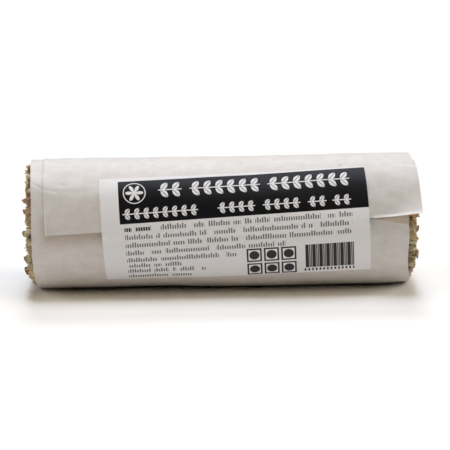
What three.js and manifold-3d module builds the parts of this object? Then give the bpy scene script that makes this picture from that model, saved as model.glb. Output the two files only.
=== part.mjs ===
// A sage smudge stick, rolled in paper and lying on its side.
//
// Leafy sprigs of dried sage lie side by side, bound with one cotton thread that goes up the bundle and
// back, and trimmed at both ends. The bundle is rolled a little askew in one sheet of thin paper, and a
// sticker holds down the sheet's free edge. The sprigs' cut ends stand out of both ends of the roll.
//
// Millimetres, +Z up, X along the stick. The origin is on the surface that the stick lies on, below its
// middle. Angles round the stick start at its top and grow towards its front, which is -Y.

import * as THREE from "three";
import { mergeVertices } from "three/addons/utils/BufferGeometryUtils.js";
import Module from "manifold-3d";

const { clamp, degToRad, lerp, seededRandom, smoothstep } = THREE.MathUtils;
const TURN = 2 * Math.PI;

// The sheet of paper, flat, and how it is rolled.
const SHEET_LENGTH = 153;
const SHEET_WIDTH = 93.3;
const SHEET_FACETS = [62, 8];
const PAPER_THICKNESS = 0.3;
const ROLL_RADIUS = 15.95; // to the inside of the innermost layer
const LAYER_STEP = 0.5; // from one layer of the roll to the next
const ROLL_SKEW = degToRad(2.15); // by which the sheet creeps along the stick
const EDGE_ANGLE = degToRad(80.3); // where the sheet's free edge ends, at its middle
const EDGE_CENTRE = 2.6; // along the stick, the middle of the free edge
const CORNER_LIFT = 1; // the free edge's right corner stands off the roll
const LIFT_FROM = 37; // along the free edge, where it starts to stand off
const LIFT_BACK = 20; // how far back from the free edge the sheet stands off
const REST_HEIGHT = 16.25; // from the flat underside up to the middle of the roll

// The sticker over the free edge.
const STICKER_LENGTH = 66.3;
const STICKER_HEIGHT = 29.2;
const STICKER_FACETS = [3, 15];
const STICKER_THICKNESS = 0.25;
const STICKER_CENTRE = 3.1;
const STICKER_ANGLE = degToRad(81.3);
const STICKER_TILT = degToRad(2.65);
const STICKER_GAP = 0.1;
const STICKER_STEP = [2, 4.2]; // past the free edge, where it comes down on the layer below

// The bundle. The thread binds it, and it spreads towards its trimmed ends.
const BUNDLE_RADIUS = 15.5;
const BOUND_SHARE = 0.9; // of that radius, under the thread
const SPREAD_FROM = 37;
const TRIM_LENGTH = 48.6; // from the middle of the stick to a trimmed end
const TRIM_SHORT = [1.6, 2.6]; // less at the top of the left end, and at the bottom of the right end

// The sprigs. Each one gets a cell of the bundle's section.
const SPRIG_COUNT = 19;
const SPRIG_FILL = 0.8; // of the section, before the sprigs are pressed to their cells
const SPRIG_SIZES = [0.86, 1.14];
const SPRIG_REACH = 1.6; // at most, in sizes of its own
const SPRIG_GAP = 0.16;
const PRESS_ROUNDS = 400;
const PRESS_STEP = 0.25;
const STEM_RADII = [0.8, 1.25]; // at its tip and at its foot
const STEM_SIDES = 6;
const STEM_PROUD = [-1.2, 1.6]; // past the trimmed leaves

// The leaves, which wrap round their stem and lie along it to the trimmed ends.
const LEAVES_PER_END = 3;
const LEAF_THICKNESS = 0.6;
const LEAF_SPANS = [degToRad(142), degToRad(175)];
const LEAF_TUCK = 0.62; // of the way out to its outer edge, for the edge that is tucked in
const LEAF_ROOT = 3; // from the middle of the stick
const LEAF_ROOT_STEP = 7;
const LEAF_ROOT_SPREAD = 3;
const LEAF_SHOULDER = 11; // from its root to its full width
const LEAF_WIDTHS = [0.16, 0.8, 1, 0.93]; // at its root, shoulder, the thread's end and the trim
const LEAF_RAGGED = 1.2;

// The cotton thread, wound up the bundle and back, and tied near the left end.
const THREAD_RADIUS = 0.35;
const THREAD_SIDES = 5;
const THREAD_PATH = 14.7;
const THREAD_REACH = 35;
const THREAD_TURNS = 4;
const THREAD_STEPS = 136;
const THREAD_CLIMB = 0.6; // over the first winding, at each crossing
const KNOT_SIZE = [1.2, 0.55];

const PAPER = { color: 0xd9d1c8, roughness: 0.85 };
const STICKER = { color: 0xe4e2e0, roughness: 0.6 };
const THREAD = { color: 0xe9e2d0, roughness: 0.9 };
const SAGE = [0x8f9478, 0x7d8263, 0x9a957a, 0x86775a].map((color) => ({ color, roughness: 0.9 }));

const wasm = await Module();
wasm.setup();

// A closed geometry as a solid, with its shared corners merged.
function solidFrom(geometry) {
  const bare = geometry.clone();
  bare.deleteAttribute("normal");
  bare.deleteAttribute("uv");
  const merged = mergeVertices(bare, 1e-4);
  return new wasm.Manifold(
    new wasm.Mesh({
      numProp: 3,
      vertProperties: merged.attributes.position.array,
      triVerts: Uint32Array.from(merged.index.array),
    }),
  );
}

// Several closed geometries that reach into each other, as one.
function fused(geometries) {
  const whole = geometries.map(solidFrom).reduce((joined, piece) => joined.add(piece));
  const mesh = whole.getMesh();
  const geometry = new THREE.BufferGeometry();
  geometry.setAttribute("position", new THREE.BufferAttribute(mesh.vertProperties, 3));
  geometry.setIndex(new THREE.BufferAttribute(mesh.triVerts, 1));
  return geometry;
}

// Moves every corner of a geometry to where place() puts it.
function shaped(geometry, place) {
  const corners = geometry.attributes.position;
  const corner = new THREE.Vector3();
  for (let i = 0; i < corners.count; i++) {
    corner.fromBufferAttribute(corners, i);
    corners.setXYZ(i, ...place(corner).toArray());
  }
  return geometry;
}

function named(name, geometry, look) {
  const faceted = geometry.toNonIndexed();
  faceted.computeVertexNormals();
  const mesh = new THREE.Mesh(faceted, new THREE.MeshStandardMaterial({ ...look, metalness: 0 }));
  mesh.name = name;
  return mesh;
}

function polar(length, angle) {
  return new THREE.Vector2(length * Math.cos(angle), length * Math.sin(angle));
}

function onStick(angle, along, radius) {
  return new THREE.Vector3(along, -radius * Math.sin(angle), radius * Math.cos(angle));
}

// The roll of paper. A place on the sheet is how far it is past the free edge, which is negative, and
// how far along that edge.
const MIDDLE_RADIUS = ROLL_RADIUS + LAYER_STEP;
const INNER_EDGE_ANGLE = EDGE_ANGLE - SHEET_LENGTH / MIDDLE_RADIUS;

// The inside of the sheet moves out by one layer's step where the sheet lies alone.
function sheetRadius(angle) {
  return ROLL_RADIUS + LAYER_STEP * smoothstep(angle, EDGE_ANGLE - TURN, INNER_EDGE_ANGLE + TURN);
}

function cornerLift(pastEdge, along) {
  return CORNER_LIFT * smoothstep(along, LIFT_FROM, SHEET_WIDTH / 2) * smoothstep(pastEdge, -LIFT_BACK, 0);
}

function paperRoll() {
  const sheet = new THREE.BoxGeometry(SHEET_LENGTH, SHEET_WIDTH, PAPER_THICKNESS, ...SHEET_FACETS);
  return shaped(sheet, (flat) => {
    const pastEdge = flat.x - SHEET_LENGTH / 2;
    const along = flat.y + EDGE_CENTRE;
    const round = pastEdge * Math.cos(ROLL_SKEW) - along * Math.sin(ROLL_SKEW);
    const axial = pastEdge * Math.sin(ROLL_SKEW) + along * Math.cos(ROLL_SKEW);
    const angle = EDGE_ANGLE + round / MIDDLE_RADIUS;
    const depth = flat.z + PAPER_THICKNESS / 2;
    const place = onStick(angle, axial, sheetRadius(angle) + depth + cornerLift(pastEdge, along));
    place.z = Math.max(place.z, PAPER_THICKNESS - depth - REST_HEIGHT);
    return place;
  });
}

// The sticker lies over the free edge, and comes down on the layer below just past it.
function sticker() {
  const flatSticker = new THREE.BoxGeometry(
    STICKER_LENGTH,
    STICKER_HEIGHT,
    STICKER_THICKNESS,
    ...STICKER_FACETS,
  );
  const upperRadius = ROLL_RADIUS + LAYER_STEP + PAPER_THICKNESS;
  return shaped(flatSticker, (flat) => {
    const axial = STICKER_CENTRE + flat.x * Math.cos(STICKER_TILT) - flat.y * Math.sin(STICKER_TILT);
    const round = -flat.x * Math.sin(STICKER_TILT) - flat.y * Math.cos(STICKER_TILT);
    const angle = STICKER_ANGLE + round / upperRadius;
    const pastEdge = (angle - EDGE_ANGLE) * MIDDLE_RADIUS + axial * Math.sin(ROLL_SKEW);
    const lowerRadius = sheetRadius(angle - TURN) + PAPER_THICKNESS;
    const under = lerp(upperRadius, lowerRadius, smoothstep(pastEdge, ...STICKER_STEP));
    return onStick(angle, axial, under + STICKER_GAP + flat.z + STICKER_THICKNESS / 2);
  });
}

// How much of its full radius the bundle has, at a distance along the stick.
function bundleShare(along) {
  const spread = (Math.abs(along) - SPREAD_FROM) / (TRIM_LENGTH - SPREAD_FROM);
  return lerp(BOUND_SHARE, 1, clamp(spread, 0, 1));
}

// How far from the middle of the stick the bundle is trimmed, on its left (-1) or right (1).
function trimmedEnd(side, height) {
  const short = smoothstep((-side * height) / BUNDLE_RADIUS, 0.4, 1);
  return TRIM_LENGTH - TRIM_SHORT[side < 0 ? 0 : 1] * short;
}

// Middles and sizes of the sprigs across the bundle. They start on a sunflower's spiral, and press
// each other apart until they share the room.
function packedSprigs() {
  const goldenAngle = Math.PI * (3 - Math.sqrt(5));
  const evenSize = BUNDLE_RADIUS * Math.sqrt(SPRIG_FILL / SPRIG_COUNT);
  const packed = Array.from({ length: SPRIG_COUNT }, (_, i) => {
    const outward = (BUNDLE_RADIUS - evenSize) * Math.sqrt((i + 0.5) / SPRIG_COUNT);
    return { middle: polar(outward, i * goldenAngle), size: evenSize * lerp(...SPRIG_SIZES, seededRandom()) };
  });
  for (let round = 0; round < PRESS_ROUNDS; round++) {
    for (const one of packed) {
      for (const other of packed.filter((sprig) => sprig !== one)) {
        const apart = one.middle.clone().sub(other.middle);
        const overlap = Math.max(0, one.size + other.size - apart.length());
        one.middle.addScaledVector(apart.normalize(), overlap * PRESS_STEP);
      }
      one.middle.clampLength(0, BUNDLE_RADIUS - one.size);
    }
  }
  return packed;
}

// How far a sprig may reach from its own middle in one direction: part of the way to each neighbour,
// by their sizes, and to the bundle's outline.
function reach(sprig, packed, angle) {
  const direction = polar(1, angle);
  const outward = sprig.middle.dot(direction);
  const toOutline = Math.sqrt(outward ** 2 + BUNDLE_RADIUS ** 2 - sprig.middle.lengthSq()) - outward;
  let furthest = Math.min(SPRIG_REACH * sprig.size, toOutline);
  for (const other of packed.filter((neighbour) => neighbour !== sprig)) {
    const between = other.middle.clone().sub(sprig.middle);
    const apart = between.length();
    const wall = (apart ** 2 + sprig.size ** 2 - other.size ** 2) / (2 * apart);
    const towards = between.dot(direction) / apart;
    if (towards > 0) furthest = Math.min(furthest, wall / towards);
  }
  return furthest - SPRIG_GAP / 2;
}

function inBundle(sprig, along, angle, radius) {
  const across = polar(radius, angle).add(sprig.middle).multiplyScalar(bundleShare(along));
  return new THREE.Vector3(along, across.x, across.y);
}

// A stem runs the whole length, and gets thicker towards the sprig's foot, at either end of the stick.
function stem(sprig) {
  const height = sprig.middle.y;
  const foot = seededRandom() < 0.5 ? -1 : 1;
  const [left, right] = [-1, 1].map((side) => {
    return side * (trimmedEnd(side, height) + lerp(...STEM_PROUD, seededRandom()));
  });
  const rings = [left, -SPREAD_FROM, SPREAD_FROM, right];
  const cylinder = new THREE.CylinderGeometry(1, 1, 1, STEM_SIDES, rings.length - 1);
  return shaped(cylinder, (round) => {
    const along = rings[Math.round((round.y + 0.5) * (rings.length - 1))];
    const thickness = lerp(...STEM_RADII, 0.5 + (foot * along) / (2 * TRIM_LENGTH));
    const radius = Math.hypot(round.x, round.z) * thickness;
    return inBundle(sprig, along, Math.atan2(round.x, round.z), radius);
  });
}

// A leaf grows out of the stem, lies along it to the trimmed end, and wraps over the next leaf.
// Across the leaf, w goes from its tucked-in edge, -1, to its outer edge, 1.
function leaf(sprig, packed, side, number, turned) {
  const root = LEAF_ROOT + LEAF_ROOT_STEP * number + LEAF_ROOT_SPREAD * seededRandom();
  const span = lerp(...LEAF_SPANS, seededRandom());
  const middle = turned + (TURN * 2 * number) / LEAVES_PER_END;
  const ragged = [-1, 0, 1].map(() => LEAF_RAGGED * (2 * seededRandom() - 1));
  const blade = new THREE.BoxGeometry(1, 1, 1, LEAF_WIDTHS.length - 1, 2, 1);
  return shaped(blade, (flat) => {
    const w = 2 * flat.y;
    const end = trimmedEnd(side, sprig.middle.y) + ragged[w + 1];
    const step = Math.round((flat.x + 0.5) * (LEAF_WIDTHS.length - 1));
    const along = [root, root + LEAF_SHOULDER, SPREAD_FROM, end][step];
    const angle = middle - (side * w * span * LEAF_WIDTHS[step]) / 2;
    const wrapped = lerp(LEAF_TUCK, 1, Math.min(w + 1, 1));
    const laid = wrapped * (reach(sprig, packed, angle) - LEAF_THICKNESS / 2);
    const radius = step === 0 ? STEM_RADII[0] / 2 : laid;
    return inBundle(sprig, side * along, angle, radius + flat.z * LEAF_THICKNESS);
  });
}

function sageSprigs() {
  seededRandom(7);
  const packed = packedSprigs();
  return packed.map((sprig, i) => {
    const turned = TURN * seededRandom();
    const pieces = [stem(sprig)];
    for (const side of [-1, 1]) {
      for (let number = 0; number < LEAVES_PER_END; number++) {
        pieces.push(leaf(sprig, packed, side, number, turned));
      }
    }
    const name = `sage_sprig_${String(i + 1).padStart(2, "0")}`;
    return named(name, fused(pieces), SAGE[i % SAGE.length]);
  });
}

// The thread's way up the bundle and back. On the way back it climbs over the first winding where
// they cross, which is at the top and the bottom of the bundle.
class ThreadPath extends THREE.Curve {
  getPoint(t) {
    const climbed = 1 - Math.abs(2 * t - 1);
    const along = THREAD_REACH * (2 * climbed - 1);
    const turned = TURN * THREAD_TURNS * climbed;
    if (t <= 0.5) return onStick(turned, along, THREAD_PATH);
    const over = THREAD_CLIMB * Math.cos(turned) ** 4 * smoothstep(t, 0.5, 0.53);
    return onStick(-turned, along, THREAD_PATH + over);
  }
}

// Both ends of the thread meet in a knot.
function thread() {
  const corners = Array.from({ length: THREAD_SIDES }, (_, i) => {
    return polar(THREAD_RADIUS, (TURN * i) / THREAD_SIDES);
  });
  const winding = new THREE.ExtrudeGeometry(new THREE.Shape(corners), {
    steps: THREAD_STEPS,
    extrudePath: new ThreadPath(),
  });
  const [wide, high] = KNOT_SIZE;
  const knot = new THREE.SphereGeometry(1, 8, 6);
  knot.scale(wide, wide, high);
  knot.translate(-THREAD_REACH, 0, THREAD_PATH + THREAD_RADIUS / 2);
  return fused([winding, knot]);
}

const stick = new THREE.Group();
stick.add(named("paper_roll", paperRoll(), PAPER));
stick.add(named("sticker", sticker(), STICKER));
stick.add(named("cotton_thread", thread(), THREAD));
stick.add(...sageSprigs());
const middle = new THREE.Box3().setFromObject(stick).getCenter(new THREE.Vector3());
stick.position.set(-middle.x, -middle.y, REST_HEIGHT);

export default stick;
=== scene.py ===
import math

import bpy
import numpy as np
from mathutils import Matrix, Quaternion, Vector


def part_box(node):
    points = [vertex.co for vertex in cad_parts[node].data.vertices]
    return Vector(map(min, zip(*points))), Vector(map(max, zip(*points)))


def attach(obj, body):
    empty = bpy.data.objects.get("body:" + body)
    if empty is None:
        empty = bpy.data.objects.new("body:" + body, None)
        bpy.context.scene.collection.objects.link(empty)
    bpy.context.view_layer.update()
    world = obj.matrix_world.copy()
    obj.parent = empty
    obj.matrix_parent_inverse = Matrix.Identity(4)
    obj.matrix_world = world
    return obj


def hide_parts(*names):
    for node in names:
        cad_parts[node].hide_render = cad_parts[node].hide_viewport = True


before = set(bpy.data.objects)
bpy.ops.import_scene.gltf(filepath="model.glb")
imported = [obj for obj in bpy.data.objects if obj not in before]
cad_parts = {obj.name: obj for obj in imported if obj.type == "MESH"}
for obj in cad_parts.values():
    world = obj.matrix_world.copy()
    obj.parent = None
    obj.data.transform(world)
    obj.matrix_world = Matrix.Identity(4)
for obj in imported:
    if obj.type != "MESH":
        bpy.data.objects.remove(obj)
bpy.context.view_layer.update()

# The camera stands in front of the stick, a little left of its middle and fourteen degrees above it,
# and looks through a long lens. It leans by less than a degree.
mm = 0.001
roll_radius = 16.75 * mm
paper_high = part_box("paper_roll")[1]
roll_middle = Vector((0, paper_high.y - roll_radius, paper_high.z - roll_radius))
camera_place = roll_middle + Vector((-7.47, -431.10, 107.49)) * mm
camera_aim = roll_middle + Vector((0.72, 0, -1.17)) * mm
camera_lean = math.radians(0.725)
bpy.ops.object.camera_add(location=camera_place)
camera = bpy.context.object
camera.name = "camera"
camera.data.lens = 138.6
camera.data.sensor_width = 36
camera.data.clip_start = 0.01
camera.data.clip_end = 50
camera.rotation_mode = "QUATERNION"
camera_level = (camera_aim - camera_place).to_track_quat("-Z", "Y")
camera.rotation_quaternion = camera_level @ Quaternion((0, 0, 1), -camera_lean)
bpy.context.scene.camera = camera

# Sage sprigs: nineteen dried stems of sage with their own leaves and side stalks, laid side by side and
# trimmed to one length at both ends. Each fills its own cell of the bundle, where its CAD solid lies,
# and its leaves curl and fold round its stem.
bundle_radius = 15.5 * mm
bundle_bound = 0.9
bundle_spreads = (37 * mm, 43.5 * mm)
trim_length = 48.5 * mm
trim_short = {-1: -0.1 * mm, 1: 0.7 * mm}
trim_under = {-1: 1.2 * mm, 1: 0.0}
cell_gap = 0.05 * mm
cell_longest = 1.6
cell_push = 1.3 * mm
lowest_leaf = 0.45 * mm
lowest_chip = 0.2 * mm

# inside the paper: its radius and the height of its step. In degrees, its first layer starts so far behind
# the top, and it climbs over that layer between these places past its start.
paper_inside = 15.72 * mm
paper_climb = 0.5 * mm
paper_start = 92.6
paper_climbs = (172.9, 360)

# each ring of leaves: how many, how near and far out in the cell, and how far they fold along their rib
leaf_rings = ((13, 0.80, 1.0, 0.2), (10, 0.62, 0.90, 0.3), (7, 0.40, 0.92, 0.9), (5, 0.20, 0.56, 0.5))
leaf_rows = np.array([0, 0.35, 0.8, 1.4, 2.4, 4.5, 10, 34]) * mm
leaf_columns = 6
leaf_length = 32 * mm
leaf_widens = 11 * mm
leaf_root_width = 0.16
leaf_thickness = 0.22 * mm
leaf_crinkles = ((1, 2.6, 1.1), (0.8, 4.2, -2.3), (0.7, 1.5, 3.6))
crinkle_depth = 0.15 * mm
crinkle_fades = (2 * mm, 9 * mm)
curl_reach = 2.6 * mm
torn_steps = (-0.3, -0.15, 0, 0, 0.15, 0.3)
torn_most = (-0.6 * mm, 0.4 * mm)
notch_share = 0.15
notch_depth = 0.5 * mm
leaf_span = (0.8, 1.7)
leaf_uneven = 0.35
leaf_fold_share = (0.7, 1.1)
leaf_shorter = 0.45
long_leaf_share = 0.06
long_leaf_extra = (0.3, 0.7)
chips_per_end = 18
chip_length = (0.35, 0.8)
chip_width = (0.3, 0.6)
chip_roughness = 0.05 * mm
chip_crumple = 0.06 * mm
stem_thickness = (0.65, 1.1)
stem_shorter = 1.1
stem_wander = 0.7
proud_stem_from = 0.9 * mm
proud_stem_cut = {-1: 0.0, 1: 0.6 * mm}
twig_thickness = (0.25, 0.5)
twig_shorter = 1.6
twig_out = (0.4, 0.8)
stalk_sides = 12
stalk_rings = (0.35, 0.65, 0.82, 0.91, 0.955, 0.98)
stalk_insets = (0.16, 0.22, 0.16, 0.2)
twigs_per_end = 4

# how far the furthest leaves stand past the trimmed end, in millimetres
end_reach = {"left": 0.45, "right": -0.3, "under_flap": -0.4, "under_flap_in_front": 0.6}
flap_from_height = 2 * mm
front_cells = -8 * mm

sage_colours = {
    "grey_green": (0.330, 0.310, 0.190),
    "olive": (0.270, 0.225, 0.100),
    "straw": (0.620, 0.480, 0.220),
    "tan": (0.560, 0.400, 0.250),
    "rust": (0.480, 0.150, 0.045),
    "brown": (0.170, 0.105, 0.055),
    "pale": (0.680, 0.580, 0.410),
}
sprig_leanings = {
    "sage_grey_green": ("grey_green", "grey_green", "pale", "olive", "straw", "brown", "tan"),
    "sage_olive": ("olive", "olive", "straw", "grey_green", "straw", "brown", "rust"),
    "sage_straw": ("straw", "straw", "pale", "tan", "olive", "rust", "straw"),
    "sage_brown": ("tan", "brown", "rust", "straw", "olive", "straw", "tan"),
}
stalk_leaning = ("tan", "straw", "brown", "tan", "rust")

# the left end is paler in front, with one rusty patch between these heights
front_leaning = ("straw", "pale", "straw", "grey_green")
rusty_leaning = ("rust",) * 14
rusty_heights = (22 * mm, 29 * mm)
leaf_brightness = (0.6, 1.75)
stalk_brightness = (0.85, 1.15)
rust_brightest = 1.05

# each mark on a leaf: how strong it gets, and its colour
leaf_marks = {
    "blotches": (0.6, (0.13, 0.08, 0.035, 1)),
    "rusty": (0.55, (0.42, 0.20, 0.08, 1)),
    "flecks": (0.55, (0.68, 0.58, 0.38, 1)),
    "underside": (0.32, (0.48, 0.45, 0.33, 1)),
    "dry_edge": (0.6, (0.70, 0.56, 0.32, 1)),
}
bark_shadow = (0.42, 0.34, 0.26, 1)
wood_pale = (0.56, 0.43, 0.25, 1)
wood_dark = (0.34, 0.23, 0.12, 1)
pith_colour = (0.66, 0.58, 0.42, 1)
chance = np.random.default_rng(7)


def smooth(value, start, end):
    """0 up to start, 1 from end on, and a soft rise between them."""
    share = np.clip((value - start) / (end - start), 0, 1)
    return share * share * (3 - 2 * share)


def corners(mesh):
    places = np.empty(len(mesh.vertices) * 3)
    mesh.vertices.foreach_get("co", places)
    return places.reshape(-1, 3)


def move_corners(mesh, places):
    mesh.vertices.foreach_set("co", np.asarray(places, float).ravel())
    mesh.update()


def paint(mesh, name, values):
    """Gives every corner of a mesh a number of that name, for its material."""
    attribute = mesh.attributes.new(name, "FLOAT", "POINT")
    attribute.data.foreach_set("value", np.broadcast_to(values, len(mesh.vertices)).astype(np.float32))


def paint_colour(mesh, name, colour):
    attribute = mesh.attributes.new(name, "FLOAT_COLOR", "POINT")
    rows = np.tile(np.array((*colour, 1.0), np.float32), (len(mesh.vertices), 1))
    attribute.data.foreach_set("color", rows.ravel())


def choose_only(*chosen):
    bpy.ops.object.select_all(action="DESELECT")
    for piece in chosen:
        piece.select_set(True)
    bpy.context.view_layer.objects.active = chosen[0]


def made_one(name, parts):
    """Joins the parts of one grown or made piece, and names it."""
    choose_only(*parts)
    bpy.ops.object.join()
    piece = bpy.context.object
    piece.name = name
    piece.data.name = name
    return piece


def thicken(piece, thickness, offset):
    choose_only(piece)
    wall = piece.modifiers.new("wall", "SOLIDIFY")
    wall.thickness = thickness
    wall.offset = offset
    bpy.ops.object.modifier_apply(modifier=wall.name)


def flat_grid(name, columns, rows, size):
    """A flat square of small faces, from which a leaf, the paper or the sticker is shaped."""
    bpy.ops.mesh.primitive_grid_add(x_subdivisions=columns, y_subdivisions=rows, size=size)
    grid = bpy.context.object
    grid.name = name
    return grid


def smooth_shade(piece, degrees):
    """Shades a piece smooth, apart from its edges that are sharper than so many degrees."""
    choose_only(piece)
    bpy.ops.object.shade_smooth_by_angle(angle=math.radians(degrees))


def copied(blank):
    part = bpy.data.objects.new(blank.name + "_copy", blank.data.copy())
    bpy.context.collection.objects.link(part)
    return part


sprig_nodes = sorted(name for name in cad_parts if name.startswith("sage_sprig_"))
cells = []
for node in sprig_nodes:
    low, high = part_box(node)
    middle = (low + high) / 2 - roll_middle
    cells.append((middle.y, middle.z, (high.y - low.y + high.z - low.z) / 4))
cells = np.array(cells)


def cell_reach(number, angle):
    """How far a sprig reaches from its own middle: to its neighbours' cells or the bundle's outline."""
    y, z, size = cells[number]
    across, up = np.cos(angle), np.sin(angle)
    outward = y * across + z * up
    reach = np.sqrt(np.maximum(outward**2 + bundle_radius**2 - y**2 - z**2, 0)) - outward
    reach = np.minimum(reach, cell_longest * size)
    for other_y, other_z, other_size in np.delete(cells, number, axis=0):
        apart = math.hypot(other_y - y, other_z - z)
        wall = (apart**2 + size**2 - other_size**2) / (2 * apart)
        towards = ((other_y - y) * across + (other_z - z) * up) / apart
        reach = np.where(towards > 0.01, np.minimum(reach, wall / np.maximum(towards, 0.01)), reach)
    return reach - cell_gap / 2


def trimmed_end(side, height):
    """Where the stick was cut off, a little askew at both ends and rounded off under the left one."""
    shorter = trim_short[side] * smooth(-side * height / bundle_radius, 0.4, 1)
    return trim_length - shorter - trim_under[side] * smooth(-height / bundle_radius, 0.72, 0.95)


def room_in_paper(y, z):
    """From the roll's middle to the inside of the paper round it, which is wider behind and below."""
    past_start = np.remainder(np.degrees(np.arctan2(-y, z)) + paper_start, 360)
    return paper_inside + paper_climb * smooth(past_start, *paper_climbs)


def in_bundle(number, along, angle, radius):
    """A place in a sprig's cell. The cells are pushed about a little, all in the same way."""
    y = cells[number][0] + radius * np.cos(angle)
    z = cells[number][1] + radius * np.sin(angle)
    out = np.hypot(y, z) / bundle_radius
    push = cell_push * np.clip(1 - out**2, 0, 1)
    pushed_y = y + push * np.sin(z * 640 + along * 40 + 1.1) * np.cos(y * 380 + 0.4)
    pushed_z = z + push * np.sin(y * 610 - along * 35 + 2.3) * np.cos(z * 420 + 1.9)
    spread = smooth(np.abs(along), *bundle_spreads)
    filled = 1 + (room_in_paper(y, z) / bundle_radius - 1) * out**2
    share = bundle_bound + (filled - bundle_bound) * spread
    height = np.maximum(roll_middle.z + pushed_z * share, lowest_leaf)
    return np.stack((along, roll_middle.y + pushed_y * share, height), axis=1)


# one flat leaf, cut across its tip, from which every leaf is laid
leaf_blank = flat_grid("leaf_blank", leaf_columns, len(leaf_rows) - 1, 2)
flat_leaf = corners(leaf_blank.data)
leaf_row = np.round((1 - flat_leaf[:, 1]) / 2 * (len(leaf_rows) - 1)).astype(int)
leaf_column = np.round((flat_leaf[:, 0] + 1) / 2 * leaf_columns).astype(int)
leaf_across = flat_leaf[:, 0].copy()
leaf_back = leaf_rows[leaf_row]

# one flat crumb of leaf
chip_blank = flat_grid("chip_blank", 3, 3, 2)
flat_chip = corners(chip_blank.data)

# one straight stalk, one unit long and thick, with rings that get closer towards its cut face
bpy.ops.mesh.primitive_cylinder_add(
    vertices=stalk_sides, radius=1, depth=1, end_fill_type="NGON", location=(0.5, 0, 0),
    rotation=(0, math.pi / 2, 0),
)
stalk_blank = bpy.context.object
stalk_blank.name = "stalk_blank"
bpy.ops.object.transform_apply(location=True, rotation=True, scale=True)
bpy.ops.object.mode_set(mode="EDIT")
for place in stalk_rings:
    bpy.ops.mesh.select_all(action="SELECT")
    bpy.ops.mesh.bisect(plane_co=(place, 0, 0), plane_no=(1, 0, 0))
bpy.ops.mesh.select_all(action="DESELECT")
bpy.ops.object.mode_set(mode="OBJECT")
for face in stalk_blank.data.polygons:
    face.select = face.normal.x > 0.9
bpy.ops.object.mode_set(mode="EDIT")
for share in stalk_insets:
    bpy.ops.mesh.inset(thickness=share)
bpy.ops.object.mode_set(mode="OBJECT")
flat_stalk = corners(stalk_blank.data)
stalk_along = flat_stalk[:, 0].copy()
stalk_out = np.hypot(flat_stalk[:, 1], flat_stalk[:, 2])
stalk_turned = np.arctan2(flat_stalk[:, 2], flat_stalk[:, 1])


def lay_leaf(number, side, turned, span, inner, outer, folded, longer):
    """Copies the flat leaf and lays it in a sprig's cell, wrapped round the stem or folded along its rib."""
    leaf = copied(leaf_blank)
    phase = chance.uniform(0, 2 * math.pi, 8)
    widened = smooth(leaf_length - leaf_back, 0, leaf_widens)
    width = leaf_root_width + (1 - leaf_root_width) * widened
    wander = 0.16 * np.sin(leaf_back / mm * 0.7 + phase[0])
    angle = turned + wander + leaf_across * width * span / 2 * (1 - 0.5 * folded)
    tilt = chance.uniform(-1, 1)
    wrapped = inner + (outer - inner) * (tilt * leaf_across * width + 1) / 2
    pleated = outer - (outer - inner) * np.abs(leaf_across)
    share = wrapped * (1 - folded) + pleated * folded
    near_tip = 1 - smooth(leaf_back, *crinkle_fades)
    crinkle = 0
    for (high, across, back), start in zip(leaf_crinkles, phase[1:4]):
        crinkle = crinkle + high * np.sin(leaf_across * across + leaf_back / mm * back + start)
    curl = chance.normal(-0.3, 0.6) * mm * np.clip(1 - leaf_back / curl_reach, 0, 1) ** 2
    radius = cell_reach(number, angle) * share + crinkle_depth * crinkle * near_tip
    radius = radius + curl * (0.4 + 0.6 * np.sin(leaf_across * 2.2 + phase[4]) ** 2)
    sway = 0.14 * mm * np.sin(leaf_across * 5 + leaf_back / mm * 2.1 + phase[5]) * near_tip
    angle = angle + sway / np.maximum(radius, 0.8 * mm)
    radius = np.clip(radius, 0.4 * mm, cell_reach(number, angle) * 1.03)
    torn = np.cumsum(chance.choice(torn_steps, leaf_columns + 1)) * mm
    torn = np.clip(torn - torn.mean(), *torn_most)
    notched = np.where(chance.random(leaf_columns + 1) < notch_share, -notch_depth, 0)
    height = cells[number][1] + radius * np.sin(angle)
    end = trimmed_end(side, height) + longer
    end = end + (torn + notched)[leaf_column] * (1 - smooth(leaf_back, 0, 2.2 * mm))
    move_corners(leaf.data, in_bundle(number, side * (end - leaf_back), angle, radius))
    paint(leaf.data, "dry_edge", np.maximum(leaf_back < 0.1 * mm, np.abs(leaf_across) > 0.99))
    return leaf


def lay_chip(number, side):
    """A crumb of leaf that broke off in trimming and stays caught between the cut ends."""
    chip = copied(chip_blank)
    angle = chance.uniform(0, 2 * math.pi)
    radius = cell_reach(number, angle) * chance.uniform(0.15, 0.99) ** 0.6
    height = cells[number][1] + radius * math.sin(angle)
    along = side * (trimmed_end(side, height) - chance.uniform(0.0, 1.7) * mm)
    middle = in_bundle(number, np.array([along]), np.array([angle]), np.array([radius]))[0]
    flat = flat_chip * np.array((chance.uniform(*chip_length), chance.uniform(*chip_width), 0)) * mm
    bowed = chance.uniform(-0.3, 0.3) * mm * (flat_chip[:, 0] ** 2)
    flat[:, 2] = bowed + chance.normal(0, chip_roughness, len(flat_chip))
    flat = flat + chance.normal(0, chip_crumple, flat.shape)
    turned = Quaternion(chance.normal(0, 1, 4)).normalized().to_matrix()
    laid = flat @ np.array(turned).T + middle
    laid[:, 2] = np.maximum(laid[:, 2], lowest_chip)
    move_corners(chip.data, laid)
    paint(chip.data, "dry_edge", np.abs(flat_chip[:, 0]) > 0.99)
    return chip


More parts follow.
